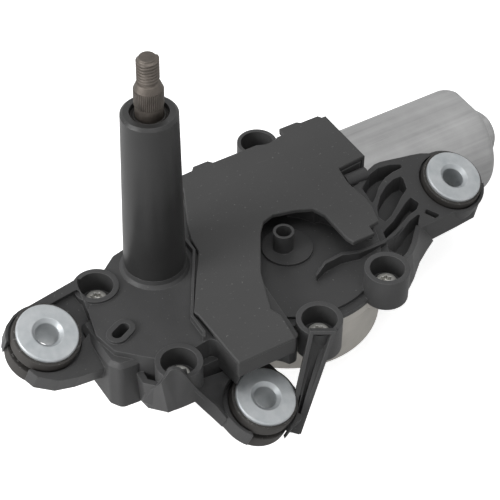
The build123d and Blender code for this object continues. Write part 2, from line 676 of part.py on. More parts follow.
with BuildPart() as commutator:
    add(barrel(worm_axis, 9.0, 84.0, 96.0))
    add(barrel(worm_axis, 10.2, 96.0, 98.0))
    add(barrel(worm_axis, 4.0, 80.0, 100.0), mode=Mode.SUBTRACT)
    with BuildSketch(Plane.YZ.offset(84.0)):
        with Locations(worm_axis):
            with PolarLocations(9.4, 10):
                Rectangle(2.0, 0.6)
    extrude(amount=11.0, mode=Mode.SUBTRACT)
finish(commutator, "commutator")

with BuildPart() as brush_holder:
    add(barrel(worm_axis, 19.8, 85.0, 95.0))
    add(barrel(worm_axis, 10.6, 84.0, 96.0), mode=Mode.SUBTRACT)
    add(block((86.5, 93.5), (worm_axis[0] - 19.0, worm_axis[0] + 19.0), (worm_axis[1] - 2.6, worm_axis[1] + 2.6)),
        mode=Mode.SUBTRACT)
finish(brush_holder, "brush_holder")

with BuildPart() as carbon_brushes:
    for side in (-1, 1):
        near, far = sorted((worm_axis[0] + side * 9.1, worm_axis[0] + side * 15.0))
        add(block((86.8, 93.2), (near, far), (worm_axis[1] - 2.4, worm_axis[1] + 2.4)))
finish(carbon_brushes, "carbon_brushes")

with BuildPart() as brush_springs:
    for side in (-1, 1):
        near, far = sorted((worm_axis[0] + side * 15.0, worm_axis[0] + side * 19.0))
        spring_plane = Plane(origin=(90.0, near, worm_axis[1]), z_dir=(0, 1, 0))
        with BuildSketch(spring_plane):
            Circle(2.2)
            Circle(1.4, mode=Mode.SUBTRACT)
        extrude(amount=far - near)
finish(brush_springs, "brush_springs")

for name, start, end, outer in (("worm_bearing", 70.0, 78.0, 6.2), ("worm_end_bearing", 20.0, 27.0, 6.2),
                                ("can_bearing", can_end + 0.5, can_end + 6.5, dome_r - 1.8)):
    with BuildPart() as bearing:
        add(barrel(worm_axis, outer, start, end))
        add(barrel(worm_axis, motor_shaft_r + running_gap, start - 1, end + 1), mode=Mode.SUBTRACT)
    finish(bearing, name)

# ---------------------------------------------------------------- wheel parts and contacts

with BuildPart() as wheel_axle:
    add(column(wheel_center, axle_r, -41.0, axle_top))
finish(wheel_axle, "wheel_axle")

with BuildPart() as connector_terminals:
    with Locations(*[(x, socket_y[0] + 2.0, sum(socket_z) / 2) for x in (41.0, 46.0, 51.0)]):
        Box(0.8, 4.0, 2.4)
finish(connector_terminals, "connector_terminals")

with BuildPart() as vent_membrane:
    add(column(vent, 2.9, dome_z, dome_z + 0.3))
finish(vent_membrane, "vent_membrane")

with BuildPart() as can_screws:
    for side in (-1, 1):
        head = (worm_axis[0] + side * 26.5, worm_axis[1])
        add(barrel(head, 3.6, can_start + 1.5, can_start + 4.0))
        add(barrel(head, 2.0, can_start - 8.0, can_start + 1.5))
finish(can_screws, "can_screws")

with BuildPart() as retaining_ring:
    add(column((0, 0), 7.5, -37.2, -36.1))
    add(column((0, 0), shaft_r, -38, -35), mode=Mode.SUBTRACT)
finish(retaining_ring, "retaining_ring")

# ---------------------------------------------------------------- gears


def involute(radius, base):
    turn = sqrt(max((radius / base) ** 2 - 1, 0))
    return turn - atan2(turn, 1)


def tooth_flank(teeth, module, thinning):
    """Radius and half angle along one flank, from root to tip."""
    pitch = teeth * module / 2
    base = pitch * cos(radians(20))
    root = pitch - 1.2 * module
    tip = pitch + 0.95 * module
    half_at_pitch = pi / (2 * teeth) - thinning / (2 * pitch)
    flank = []
    for radius in (root, max(base, root) + 0.1 * module, pitch, tip):
        half = half_at_pitch + involute(pitch, base) - involute(max(radius, base), base)
        flank.append((radius, degrees(half)))
    return flank


def gear_points(center, teeth, module, phase, indices, thinning=0.16, stride=1):
    """Outline points of a run of teeth, anticlockwise."""
    flank = tooth_flank(teeth, module, thinning)[::stride]
    points = []
    for index in indices:
        middle = phase + 360 * index / teeth
        points += [polar(center, radius, middle - half) for radius, half in flank]
        points += [polar(center, radius, middle + half) for radius, half in reversed(flank)]
    return points


# Pinion: one of its gaps faces the sector's middle tooth at rest
with BuildPart() as output_pinion:
    with BuildSketch(Plane.XY.offset(rod_z[0] - 0.3)):
        with BuildLine():
            phase = link_heading + 180 / pinion_teeth
            outline = gear_points((0, 0), pinion_teeth, tooth_module, phase, range(pinion_teeth))
            Polyline(outline, close=True)
        make_face()
        Circle(shaft_r, mode=Mode.SUBTRACT)
    extrude(amount=rod_z[1] - rod_z[0] + 0.3)
    with BuildSketch(Plane.XY.offset(rod_z[0] - 0.3)):
        Circle(8.0)
        Circle(shaft_r, mode=Mode.SUBTRACT)
    extrude(amount=-1.5)
finish(output_pinion, "output_pinion")

# Toothed rod: a gear sector around the knee and a long arm to the crank pin
with BuildPart() as toothed_rod:
    with BuildSketch(Plane.XY.offset(rod_z[0])) as rod_profile:
        with BuildLine():
            facing = link_heading + 180
            sector = gear_points(knee, sector_teeth, tooth_module, facing, range(-1, sector_span - 1))
            Polyline([knee] + sector, close=True)
        make_face()
        with Locations(knee):
            Circle(7.5)
        with BuildSketch(mode=Mode.PRIVATE) as arm:
            with Locations(knee):
                Circle(5.5)
            with Locations(crank_pin_at):
                Circle(4.5)
            make_hull()
        add(arm.sketch)
        with Locations(crank_pin_at):
            Circle(6.0)
    extrude(amount=rod_z[1] - rod_z[0])
    with BuildSketch(Plane.XY.offset(rod_z[0])):
        with Locations(knee, crank_pin_at):
            Circle(pivot_r)
    extrude(amount=rod_z[1] - rod_z[0], mode=Mode.SUBTRACT)
    with BuildSketch(Plane.XY.offset(rod_z[1] - 1.2)):
        with BuildSketch(mode=Mode.PRIVATE) as lightening:
            with Locations(polar(knee, 13.0, rod_heading)):
                Circle(2.8)
            with Locations(polar(knee, rod_length - 11.0, rod_heading)):
                Circle(2.2)
            make_hull()
        add(lightening.sketch)
    extrude(amount=2, mode=Mode.SUBTRACT)
finish(toothed_rod, "toothed_rod")

# Guide link: holds the sector in mesh with the pinion
with BuildPart() as guide_link:
    with BuildSketch(Plane.XY.offset(link_z[0])):
        with BuildSketch(mode=Mode.PRIVATE) as strap:
            Circle(8.5)
            with Locations(knee):
                Circle(6.0)
            make_hull()
        add(strap.sketch)
        Circle(shaft_r + running_gap, mode=Mode.SUBTRACT)
        with Locations(knee):
            Circle(pivot_r + running_gap, mode=Mode.SUBTRACT)
    extrude(amount=link_z[1] - link_z[0])
    chamfer(guide_link.edges().group_by(Axis.Z)[-1].filter_by(GeomType.LINE), length=0.5)
finish(guide_link, "guide_link")

# Pins: the knee pin turns in the link, the crank pin hangs just clear of the wheel
with BuildPart() as link_pin:
    with BuildSketch(Plane.XY.offset(rod_z[0])):
        with Locations(knee):
            Circle(pivot_r)
    extrude(amount=link_z[1] - rod_z[0] + 1.4)
    with BuildSketch(Plane.XY.offset(link_z[1] + 0.2)):
        with Locations(knee):
            Circle(pivot_r + 1.4)
    extrude(amount=1.2)
finish(link_pin, "link_pin")

with BuildPart() as crank_pin:
    with BuildSketch(Plane.XY.offset(wheel_top + 0.35)):
        with Locations(crank_pin_at):
            Circle(pivot_r)
    extrude(amount=rod_z[1] + 1.2 - wheel_top - 0.35)
    with BuildSketch(Plane.XY.offset(rod_z[1])):
        with Locations(crank_pin_at):
            Circle(pivot_r + 1.5)
    extrude(amount=1.2)
finish(crank_pin, "crank_pin")

# Worm wheel: rim, dished web, hub, six ribs and the crank socket
with BuildPart() as worm_wheel:
    with BuildSketch(Plane.XY.offset(wheel_mid_z - wheel_height / 2)):
        with BuildLine():
            phase = 90.0 + 90 / wheel_teeth
            outline = gear_points(wheel_center, wheel_teeth, wheel_module, phase, range(wheel_teeth), 0.5, 3)
            Polyline(outline, close=True)
        make_face()
        with Locations(wheel_center):
            Circle(axle_r + running_gap, mode=Mode.SUBTRACT)
    extrude(amount=wheel_height)
    for level, depth in ((wheel_top - 3.0, 3.0), (wheel_mid_z - wheel_height / 2, 4.0)):
        with BuildSketch(Plane.XY.offset(level)):
            with Locations(wheel_center):
                Circle(wheel_r - 3.5)
                Circle(8.0, mode=Mode.SUBTRACT)
                for index in range(6):
                    with Locations(Rot(0, 0, 30 + 60 * index)):
                        with Locations((18.0, 0)):
                            Rectangle(21.0, 1.6, mode=Mode.SUBTRACT)
        extrude(amount=depth, mode=Mode.SUBTRACT)
    crank_socket = polar(wheel_center, crank_r, crank_heading + 180)
    with BuildSketch(Plane.XY.offset(wheel_top - 3.0)):
        with Locations(crank_socket):
            Circle(5.5)
    extrude(amount=3.0)
    with BuildSketch(Plane.XY.offset(wheel_top)):
        with Locations(crank_socket):
            Circle(pivot_r + 0.1)
    extrude(amount=-2.5, mode=Mode.SUBTRACT)
finish(worm_wheel, "worm_wheel")

# Armature shaft: worm thread, journals and the long core seat
worm_center_x = wheel_center[0]
worm_pitch = pi * wheel_module
worm_length = worm_turns * worm_pitch
worm_root_r = worm_r - 1.15
thread_angle = 0.0
with BuildPart() as armature_shaft:
    with BuildSketch(Plane.YZ.offset(20.4)):
        with Locations(worm_axis):
            Circle(motor_shaft_r)
    extrude(amount=dome_end - 3.0 - 20.4)
    with BuildSketch(Plane.YZ.offset(worm_center_x - worm_length / 2 - 3)):
        with Locations(worm_axis):
            Circle(worm_root_r)
    extrude(amount=worm_length + 6)
    with BuildSketch(Plane.YZ.offset(78.0)):
        with Locations(worm_axis):
            Circle(4.0)
    extrude(amount=76.0)
    helix_start = Location((worm_center_x - worm_length / 2, *worm_axis), (0, 90, 0))
    thread_path = helix_start * Helix(worm_pitch, worm_length, worm_root_r - 0.05)
    thread_plane = Plane(origin=thread_path @ 0, x_dir=(thread_path @ 0) - Vector(
        worm_center_x - worm_length / 2, *worm_axis), z_dir=thread_path % 0)
    with BuildSketch(thread_plane) as thread_profile:
        with BuildLine():
            Polyline((0, -0.8), (2.0, -0.3), (2.0, 0.3), (0, 0.8), close=True)
        make_face()
    sweep(sections=thread_profile.sketch, path=thread_path, is_frenet=True)
finish(armature_shaft, "armature_shaft")
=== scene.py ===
import math

import bmesh
import bpy
from mathutils import Euler, Matrix, Vector


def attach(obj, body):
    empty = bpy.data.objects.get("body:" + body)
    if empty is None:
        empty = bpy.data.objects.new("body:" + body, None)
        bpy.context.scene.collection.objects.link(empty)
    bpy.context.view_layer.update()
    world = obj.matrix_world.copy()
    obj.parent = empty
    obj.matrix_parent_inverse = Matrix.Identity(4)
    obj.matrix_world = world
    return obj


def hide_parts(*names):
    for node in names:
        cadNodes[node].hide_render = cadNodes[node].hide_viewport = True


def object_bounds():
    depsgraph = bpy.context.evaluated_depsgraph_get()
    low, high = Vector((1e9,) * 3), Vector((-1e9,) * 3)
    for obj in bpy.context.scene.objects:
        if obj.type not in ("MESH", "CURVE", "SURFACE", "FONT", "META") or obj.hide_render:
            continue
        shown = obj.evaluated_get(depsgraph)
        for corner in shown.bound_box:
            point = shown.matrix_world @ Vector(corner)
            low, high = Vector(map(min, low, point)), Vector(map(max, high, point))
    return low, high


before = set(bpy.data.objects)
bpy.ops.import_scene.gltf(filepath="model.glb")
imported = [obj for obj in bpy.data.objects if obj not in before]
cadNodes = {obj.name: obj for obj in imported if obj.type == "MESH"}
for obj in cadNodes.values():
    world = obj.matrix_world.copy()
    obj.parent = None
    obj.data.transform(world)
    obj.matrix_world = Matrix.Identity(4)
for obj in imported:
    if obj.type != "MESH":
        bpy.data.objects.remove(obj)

cadBox = [list(corner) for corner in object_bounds()]
mm = 0.001
print("frame loaded:", len(cadNodes), "CAD nodes")

# ---- camera, lamps, floor and background

cameraSetup = {
    "place": (-0.219258, -0.414728, 0.467920),
    "turnDegrees": (45.5146, -0.6417, -31.5),
    "lens": 129.6,
    "sensor": 36.0,
}
lampSetup = [
    {"name": "keySoftbox", "place": (-0.95, 0.05, 0.45), "target": (0.03, -0.01, 0.0),
     "size": (0.5, 0.6), "watts": 9.5},
    {"name": "topSoftbox", "place": (-0.1, -0.2, 1.05), "target": (0.04, 0.0, 0.0), "size": (0.8, 0.6),
     "watts": 4.2},
    {"name": "frontFill", "place": (-0.25, -0.95, 0.75), "target": (0.03, -0.01, 0.0),
     "size": (0.5, 0.5), "watts": 0.6},
]
roomSetup = {
    "ambient": 0.36,
    "floorColor": (0.88, 0.88, 0.88, 1.0),
    "floorGlow": 0.76,
    "floorSize": 3.0,
}


def feed(tree, socket, value):
    if isinstance(value, bpy.types.NodeSocket):
        tree.links.new(value, socket)
    else:
        socket.default_value = value


def addNode(tree, kind, values=None, **settings):
    node = tree.nodes.new("ShaderNode" + kind)
    for name, value in settings.items():
        setattr(node, name, value)
    for name, value in (values or {}).items():
        feed(tree, node.inputs[name], value)
    return node


def makeCamera(setup):
    data = bpy.data.cameras.new("productCamera")
    data.lens = setup["lens"]
    data.sensor_width = setup["sensor"]
    data.clip_start = 0.01
    data.clip_end = 20.0
    camera = bpy.data.objects.new("productCamera", data)
    camera.location = setup["place"]
    camera.rotation_euler = Euler([math.radians(a) for a in setup["turnDegrees"]], "XYZ")
    bpy.context.scene.collection.objects.link(camera)
    bpy.context.scene.camera = camera


def makeLamp(setup):
    data = bpy.data.lights.new(setup["name"], "AREA")
    data.shape = "RECTANGLE"
    data.size, data.size_y = setup["size"]
    data.energy = setup["watts"]
    lamp = bpy.data.objects.new(setup["name"], data)
    lamp.location = setup["place"]
    aim = Vector(setup["target"]) - Vector(setup["place"])
    lamp.rotation_euler = aim.to_track_quat("-Z", "Y").to_euler()
    bpy.context.scene.collection.objects.link(lamp)


def makeRoom(setup):
    world = bpy.data.worlds.new("studio")
    world.use_nodes = True
    tree = world.node_tree
    tree.nodes.clear()
    rays = addNode(tree, "LightPath")
    seen = addNode(tree, "Math", {0: rays.outputs["Is Camera Ray"], 1: rays.outputs["Is Glossy Ray"]},
                   operation="MAXIMUM")
    seen = addNode(tree, "Math", {0: seen.outputs[0], 1: rays.outputs["Is Transmission Ray"]},
                   operation="MAXIMUM")
    strength = addNode(tree, "MapRange", {"Value": seen.outputs[0], "To Min": setup["ambient"],
                                          "To Max": 1.0})
    sky = addNode(tree, "Background", {"Color": (1, 1, 1, 1), "Strength": strength.outputs[0]})
    addNode(tree, "OutputWorld", {"Surface": sky.outputs[0]})
    bpy.context.scene.world = world

    mesh = bpy.data.meshes.new("studioFloor")
    edit = bmesh.new()
    bmesh.ops.create_grid(edit, x_segments=1, y_segments=1, size=setup["floorSize"] / 2)
    bmesh.ops.translate(edit, verts=edit.verts, vec=(0.05, 0, cadBox[0][2] - 0.0004))
    edit.to_mesh(mesh)
    edit.free()
    floor = bpy.data.objects.new("studioFloor", mesh)
    bpy.context.scene.collection.objects.link(floor)
    material = bpy.data.materials.new("paleFloor")
    material.use_nodes = True
    tree = material.node_tree
    shader = tree.nodes["Principled BSDF"]
    rays = addNode(tree, "LightPath")
    glow = addNode(tree, "Math", {0: rays.outputs["Is Camera Ray"], 1: setup["floorGlow"]},
                   operation="MULTIPLY")
    shader.inputs["Base Color"].default_value = setup["floorColor"]
    shader.inputs["Roughness"].default_value = 0.9
    shader.inputs["Specular IOR Level"].default_value = 0.1
    shader.inputs["Emission Color"].default_value = (1, 1, 1, 1)
    tree.links.new(glow.outputs[0], shader.inputs["Emission Strength"])
    mesh.materials.append(material)


makeCamera(cameraSetup)
for lampChoice in lampSetup:
    makeLamp(lampChoice)
makeRoom(roomSetup)
bpy.context.scene.view_settings.view_transform = "Standard"
print("camera, lamps and floor made")

# ---- effects that several finishes share


def newGroup(name, inputs, outputs):
    group = bpy.data.node_groups.new(name, "ShaderNodeTree")
    for label, kind, value in inputs:
        socket = group.interface.new_socket(name=label, in_out="INPUT", socket_type="NodeSocket" + kind)
        if value is not None:
            socket.default_value = value
    for label, kind in outputs:
        group.interface.new_socket(name=label, in_out="OUTPUT", socket_type="NodeSocket" + kind)
    return group, group.nodes.new("NodeGroupInput"), group.nodes.new("NodeGroupOutput")


def makeSoftEdges():
    # rounds every sharp edge a little and tells where the edges are; the materials use that mask to
    # paint a highlight along the edges
    group, source, sink = newGroup("softEdges", [("Radius", "Float", 0.0004), ("Gain", "Float", 4.0)],
                                   [("Normal", "Vector"), ("Edge", "Float")])
    bevel = addNode(group, "Bevel", {"Radius": source.outputs["Radius"]}, samples=6)
    surface = addNode(group, "NewGeometry")
    facing = addNode(group, "VectorMath", {0: bevel.outputs[0], 1: surface.outputs["Normal"]},
                     operation="DOT_PRODUCT")
    away = addNode(group, "Math", {0: 1.0, 1: facing.outputs["Value"]}, operation="SUBTRACT")
    edge = addNode(group, "Math", {0: away.outputs[0], 1: source.outputs["Gain"]}, operation="MULTIPLY",
                   use_clamp=True)
    feed(group, sink.inputs["Normal"], bevel.outputs[0])
    feed(group, sink.inputs["Edge"], edge.outputs[0])
    return group


def makeGrain():
    # fine moulding grain, with a broad slow change of shade
    group, source, sink = newGroup("grain", [("Vector", "Vector", None), ("Fine", "Float", 2600.0),
                                             ("Broad", "Float", 45.0)],
                                   [("Height", "Float"), ("Shade", "Float")])
    fine = addNode(group, "TexNoise", {"Vector": source.outputs["Vector"],
                                       "Scale": source.outputs["Fine"],
                                       "Detail": 3.0, "Roughness": 0.6})
    broad = addNode(group, "TexNoise", {"Vector": source.outputs["Vector"],
                                        "Scale": source.outputs["Broad"],
                                        "Detail": 4.0, "Roughness": 0.55})
    shade = addNode(group, "MapRange", {"Value": broad.outputs[0], "From Min": 0.3, "From Max": 0.7})
    feed(group, sink.inputs["Height"], fine.outputs[0])
    feed(group, sink.inputs["Shade"], shade.outputs[0])
    return group


def makeStreaks():
    # long thin marks along one direction, such as drawing lines or scuffs
    group, source, sink = newGroup("streaks", [("Vector", "Vector", None),
                                               ("Along", "Vector", (20, 600, 600)),
                                               ("Low", "Float", 0.5), ("High", "Float", 0.7)],
                                   [("Mask", "Float"), ("Lines", "Float")])
    stretched = addNode(group, "VectorMath", {0: source.outputs["Vector"], 1: source.outputs["Along"]},
                        operation="MULTIPLY")
    lines = addNode(group, "TexNoise", {"Vector": stretched.outputs[0], "Scale": 1.0, "Detail": 3.0,
                                        "Roughness": 0.6})
    mask = addNode(group, "MapRange", {"Value": lines.outputs[0], "From Min": source.outputs["Low"],
                                       "From Max": source.outputs["High"]})
    feed(group, sink.inputs["Mask"], mask.outputs[0])
    feed(group, sink.inputs["Lines"], lines.outputs[0])
    return group


def makeDust():
    # pale specks that settle on faces that look up
    group, source, sink = newGroup("dust", [("Vector", "Vector", None), ("Scale", "Float", 700.0),
                                            ("Cover", "Float", 0.62)],
                                   [("Mask", "Float")])
    specks = addNode(group, "TexNoise", {"Vector": source.outputs["Vector"],
                                         "Scale": source.outputs["Scale"],
                                         "Detail": 2.0, "Roughness": 0.5})
    over = addNode(group, "Math", {0: source.outputs["Cover"], 1: 0.12}, operation="ADD")
    mask = addNode(group, "MapRange", {"Value": specks.outputs[0], "From Min": source.outputs["Cover"],
                                       "From Max": over.outputs[0]})
    surface = addNode(group, "NewGeometry")
    parts = addNode(group, "SeparateXYZ", {0: surface.outputs["Normal"]})
    upward = addNode(group, "MapRange", {"Value": parts.outputs["Z"], "From Min": 0.1, "From Max": 0.9})
    settled = addNode(group, "Math", {0: mask.outputs[0], 1: upward.outputs[0]}, operation="MULTIPLY")
    feed(group, sink.inputs["Mask"], settled.outputs[0])
    return group


softEdges = makeSoftEdges()
grain = makeGrain()
streaks = makeStreaks()
dust = makeDust()


def useGroup(tree, group, **values):
    node = tree.nodes.new("ShaderNodeGroup")
    node.node_tree = group
    for name, value in values.items():
        feed(tree, node.inputs[name], value)
    return node


def startFinish(look):
    material = bpy.data.materials.new(look["name"])
    material.use_nodes = True
    tree = material.node_tree
    coordinates = addNode(tree, "TexCoord").outputs["Object"]
    return material, tree, tree.nodes["Principled BSDF"], coordinates


def blend(tree, factor, first, second):
    node = tree.nodes.new("ShaderNodeMix")
    node.data_type = "RGBA"
    feed(tree, node.inputs[0], factor)
    feed(tree, node.inputs[6], first)
    feed(tree, node.inputs[7], second)
    return node.outputs[2]


def scaled(tree, value, factor):
    return addNode(tree, "Math", {0: value, 1: factor}, operation="MULTIPLY").outputs[0]


def rgb(red, green, blue):
    return (red, green, blue, 1.0)


def mouldedPlastic(look):
    material, tree, shader, place = startFinish(look)
    skin = useGroup(tree, grain, Vector=place, Fine=look["grain"], Broad=look["patches"])
    rim = useGroup(tree, softEdges, Radius=look["edgeRadius"], Gain=look["edgeGain"])
    settled = useGroup(tree, dust, Vector=place, Scale=look["dustScale"], Cover=look["dustCover"])
    scuffed = useGroup(tree, streaks, Vector=place, Along=look["scuffAlong"], Low=look["scuffLow"],
                       High=look["scuffHigh"])
    color = blend(tree, skin.outputs["Shade"], look["dark"], look["light"])
    # painted highlight: edges are lightened towards the highlight colour
    color = blend(tree, scaled(tree, rim.outputs["Edge"], look["edgeHighlightAmount"]), color, look["highlightAndScuffColor"])
    # scuff marks, real wear, drawn in the same pale colour as the painted edge highlight
    color = blend(tree, scaled(tree, scuffed.outputs["Mask"], look["scuffAmount"]), color,
                  look["highlightAndScuffColor"])
    color = blend(tree, scaled(tree, settled.outputs["Mask"], look["dustAmount"]), color,
                  look["dustColor"])
    rough = addNode(tree, "MapRange", {"Value": skin.outputs["Shade"],
                                       "To Min": look["roughness"] - 0.05,
                                       "To Max": look["roughness"] + 0.07})
    bump = addNode(tree, "Bump", {"Height": skin.outputs["Height"], "Normal": rim.outputs["Normal"],
                                  "Distance": look["grainDepth"], "Strength": 0.8})
    feed(tree, shader.inputs["Base Color"], color)
    feed(tree, shader.inputs["Roughness"], rough.outputs[0])
    feed(tree, shader.inputs["Normal"], bump.outputs[0])
    shader.inputs["Specular IOR Level"].default_value = look["shine"]
    return material


def workedMetal(look):
    material, tree, shader, place = startFinish(look)
    skin = useGroup(tree, grain, Vector=place, Fine=look["grain"], Broad=look["patches"])
    rim = useGroup(tree, softEdges, Radius=look["edgeRadius"], Gain=look["edgeGain"])
    drawn = useGroup(tree, streaks, Vector=place, Along=look["lineAlong"],
                     Low=look["lineLow"], High=look["lineHigh"])
    color = blend(tree, skin.outputs["Shade"], look["dark"], look["light"])
    color = blend(tree, scaled(tree, drawn.outputs["Mask"], look["lineAmount"]), color,
                  look["lineColor"])
    # painted highlight: edges are lightened towards the highlight colour
    color = blend(tree, scaled(tree, rim.outputs["Edge"], look["edgeHighlightAmount"]), color, look["highlightAndScuffColor"])
    rough = addNode(tree, "MapRange", {"Value": drawn.outputs["Lines"],
                                       "To Min": look["roughness"] - look["roughSpread"],
                                       "To Max": look["roughness"] + look["roughSpread"]})
    height = addNode(tree, "Math", {0: scaled(tree, skin.outputs["Height"], look["grainShare"]),
                                    1: scaled(tree, drawn.outputs["Lines"], 1.0 - look["grainShare"])},
                                    operation="ADD")
    bump = addNode(tree, "Bump", {"Height": height.outputs[0], "Normal": rim.outputs["Normal"],
                                  "Distance": look["depth"], "Strength": 0.8})
    feed(tree, shader.inputs["Base Color"], color)
    feed(tree, shader.inputs["Roughness"], rough.outputs[0])
    feed(tree, shader.inputs["Normal"], bump.outputs[0])
    shader.inputs["Metallic"].default_value = look["metallic"]
    return material


# highlightAndScuffColor and edgeHighlightAmount set a painted highlight along edges; the plastics also
# use that colour for scuffs
plasticLook = {
    "name": "housingPlastic", "dark": rgb(0.047, 0.047, 0.0475), "light": rgb(0.059, 0.059, 0.0595),
    "highlightAndScuffColor": rgb(0.17, 0.17, 0.17), "edgeHighlightAmount": 0.5, "edgeRadius": 0.00045, "edgeGain": 3.0,
    "grain": 2600.0, "grainDepth": 0.00006, "patches": 38.0, "roughness": 0.42, "shine": 0.2,
    "dustScale": 900.0, "dustCover": 0.68, "dustAmount": 0.35, "dustColor": rgb(0.3, 0.3, 0.29),
    "scuffAlong": (700.0, 700.0, 22.0), "scuffLow": 0.66, "scuffHigh": 0.8, "scuffAmount": 0.12,
}
coverLook = dict(plasticLook, name="coverPlastic", dark=rgb(0.053, 0.053, 0.053),
                 light=rgb(0.062, 0.062, 0.062), roughness=0.56, patches=26.0,
                 scuffAlong=(160.0, 900.0, 600.0), scuffAmount=0.16)
# painted shade: the tower is the same moulding as the housing, given a darker copy of its plastic
shadedTowerLook = dict(plasticLook, name="shadedTowerPlastic", dark=rgb(0.024, 0.024, 0.024),
                 light=rgb(0.032, 0.032, 0.032), roughness=0.36, shine=0.36)
wheelLook = dict(plasticLook, name="wheelPolyamide", dark=rgb(0.62, 0.58, 0.47),
                 light=rgb(0.70, 0.66, 0.55), highlightAndScuffColor=rgb(0.78, 0.75, 0.66), dustAmount=0.0,
                 scuffAmount=0.0, roughness=0.42)
brushPlasticLook = dict(plasticLook, name="brushHolderPhenolic", dark=rgb(0.06, 0.045, 0.038),
                        light=rgb(0.09, 0.07, 0.06), dustAmount=0.1, roughness=0.55)
rubberLook = dict(plasticLook, name="grommetRubber", dark=rgb(0.030, 0.028, 0.026),
                  light=rgb(0.044, 0.041, 0.038), edgeHighlightAmount=0.25, edgeRadius=0.0009, grain=1800.0,
                  grainDepth=0.00008, roughness=0.66, shine=0.32, dustAmount=0.5, dustCover=0.6,
                  scuffAmount=0.0)
sealLook = dict(rubberLook, name="sealRubber", roughness=0.5, dustAmount=0.1)
carbonLook = dict(plasticLook, name="pressedCarbon", dark=rgb(0.03, 0.03, 0.03),
                  light=rgb(0.06, 0.06, 0.06), roughness=0.6)
membraneLook = dict(plasticLook, name="ventMembrane", dark=rgb(0.12, 0.12, 0.12),
                    light=rgb(0.18, 0.18, 0.18), grain=5200.0, roughness=0.8)
ferriteLook = dict(plasticLook, name="sinteredFerrite", dark=rgb(0.07, 0.07, 0.075),
                   light=rgb(0.11, 0.11, 0.11), grain=3200.0, roughness=0.75)
canLook = {
    "name": "platedCan", "dark": rgb(0.26, 0.26, 0.26), "light": rgb(0.36, 0.36, 0.36),
    "lineColor": rgb(0.48, 0.48, 0.48), "lineAmount": 0.35, "lineAlong": (9.0, 420.0, 420.0),
    "highlightAndScuffColor": rgb(0.55, 0.55, 0.55), "edgeHighlightAmount": 0.3, "edgeRadius": 0.0007, "edgeGain": 3.0,
    "grain": 900.0, "grainShare": 0.35, "patches": 55.0, "depth": 0.00008, "lineLow": 0.35,
    "lineHigh": 0.65, "roughness": 0.38, "roughSpread": 0.08, "metallic": 0.85,
}
castLook = dict(canLook, name="castAlloy", dark=rgb(0.38, 0.365, 0.34), light=rgb(0.48, 0.462, 0.43),
                lineAmount=0.0, lineColor=rgb(0.5, 0.5, 0.5), grain=1500.0, grainShare=1.0,
                depth=0.00018, roughness=0.6, metallic=0.7)
zincLook = dict(canLook, name="brightZinc", dark=rgb(0.34, 0.365, 0.38), light=rgb(0.45, 0.468, 0.478),
                lineColor=rgb(0.60, 0.615, 0.625), lineAmount=0.2, lineAlong=(300.0, 300.0, 300.0),
                patches=160.0, highlightAndScuffColor=rgb(0.78, 0.79, 0.80), edgeHighlightAmount=0.4, edgeRadius=0.0005,
                roughness=0.46, metallic=0.45, depth=0.00003)
screwLook = dict(zincLook, name="zincScrew", dark=rgb(0.42, 0.415, 0.39), light=rgb(0.58, 0.57, 0.53),
                 roughness=0.36)
linkLook = dict(canLook, name="linkageSteel", dark=rgb(0.42, 0.42, 0.42), light=rgb(0.55, 0.55, 0.55),
                roughness=0.38, metallic=1.0, lineAlong=(300.0, 300.0, 25.0))
coreLook = dict(canLook, name="stackedCore", dark=rgb(0.26, 0.26, 0.27), light=rgb(0.38, 0.38, 0.39),
                metallic=1.0, lineAlong=(2600.0, 20.0, 20.0), lineAmount=0.6,
                lineColor=rgb(0.2, 0.2, 0.2), depth=0.0002, grainShare=0.1)
copperLook = dict(canLook, name="enamelledCopper", dark=rgb(0.42, 0.17, 0.07),
                  light=rgb(0.66, 0.30, 0.13), metallic=1.0, lineColor=rgb(0.8, 0.42, 0.2),
                  lineAlong=(1800.0, 60.0, 1800.0), roughness=0.32, depth=0.0002)
bronzeLook = dict(canLook, name="sinteredBronze", dark=rgb(0.36, 0.25, 0.13), light=rgb(0.5, 0.36, 0.2),
                  metallic=1.0, grain=3500.0, grainShare=1.0, lineAmount=0.0, roughness=0.5)
tinLook = dict(zincLook, name="tinnedContacts", dark=rgb(0.62, 0.62, 0.62), light=rgb(0.75, 0.75, 0.74))

housingPlastic = mouldedPlastic(plasticLook)
shadedTowerPlastic = mouldedPlastic(shadedTowerLook)
coverPlastic = mouldedPlastic(coverLook)
wheelPolyamide = mouldedPlastic(wheelLook)
brushPhenolic = mouldedPlastic(brushPlasticLook)
grommetRubber = mouldedPlastic(rubberLook)
sealRubber = mouldedPlastic(sealLook)
pressedCarbon = mouldedPlastic(carbonLook)
membraneCloth = mouldedPlastic(membraneLook)
sinteredFerrite = mouldedPlastic(ferriteLook)
platedCan = workedMetal(canLook)
castAlloy = workedMetal(castLook)
brightZinc = workedMetal(zincLook)
zincScrew = workedMetal(screwLook)
linkageSteel = workedMetal(linkLook)
stackedCore = workedMetal(coreLook)
enamelledCopper = workedMetal(copperLook)
sinteredBronze = workedMetal(bronzeLook)
tinnedContacts = workedMetal(tinLook)

spindleLook = {
    "name": "phosphatedSteel", "dark": rgb(0.075, 0.065, 0.056), "light": rgb(0.14, 0.122, 0.107),
    "highlightAndScuffColor": rgb(0.30, 0.27, 0.24), "edgeHighlightAmount": 0.5, "edgeRadius": 0.0002, "edgeGain": 3.0,
    "grain": 2400.0, "patches": 180.0, "depth": 0.00012, "roughness": 0.46, "metallic": 0.75,
    "knurls": 48.0, "knurlBottom": 0.0772, "knurlTop": 0.0842, "knurlDepth": 0.00035,
}


